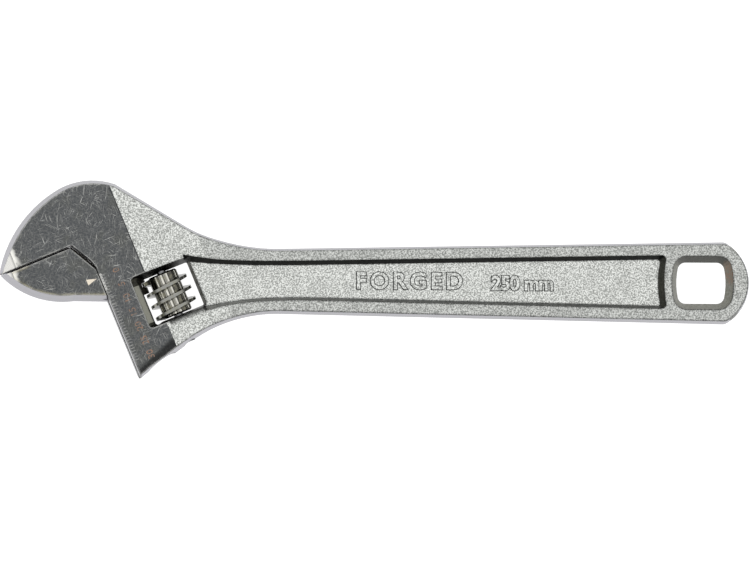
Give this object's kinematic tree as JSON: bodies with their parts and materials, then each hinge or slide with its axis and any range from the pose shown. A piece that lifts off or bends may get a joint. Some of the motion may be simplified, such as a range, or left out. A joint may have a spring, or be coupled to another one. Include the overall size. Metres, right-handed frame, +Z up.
{
  "type": "adjustable wrench",
  "caption": "Adjustable open-end wrench lying flat: forged handle with hanging hole, sliding jaw on a round rail, thumb worm in a window; the worm turns as the jaw slides.",
  "frame": {"origin": "centre of the bottom of the tool's box, on the surface it lies on", "axes": "+X from the jaws to the hanging hole along the handle, +Z up through the thickness, +Y towards the fixed jaw"},
  "size_m": [0.25, 0.0656, 0.016],
  "materials": {
    "body_steel": "drop-forged steel with satin chrome over the forged skin, cheeks ground flat",
    "jaw_steel": "ground steel, dark satin",
    "worm_chrome": "bright nickel-chrome plate on machined steel",
    "pin_steel": "turned steel",
    "spring_steel": "drawn spring wire"
  },
  "bodies": {
    "wrench_body": {"body": "body_steel", "worm_pin": "pin_steel", "worm_spring": "spring_steel"},
    "jaw": {"movable_jaw": "jaw_steel"},
    "knurl": {"worm": "worm_chrome"}
  },
  "joints": [
    {"name": "jaw_slide", "type": "slide", "parent": "wrench_body", "child": "jaw", "axis": [0.3827, -0.9239, 0], "range_m": [0, 0.03]},
    {"name": "worm_spin", "type": "hinge", "parent": "wrench_body", "child": "knurl", "pos_m": [-0.06835, -0.00465, 0.008], "axis": [0.3827, -0.9239, 0], "range_deg": [-2720, 20]}
  ],
  "couplings": [
    {"joint": "worm_spin", "follows": "jaw_slide", "rad_per_m": -1570.8}
  ]
}
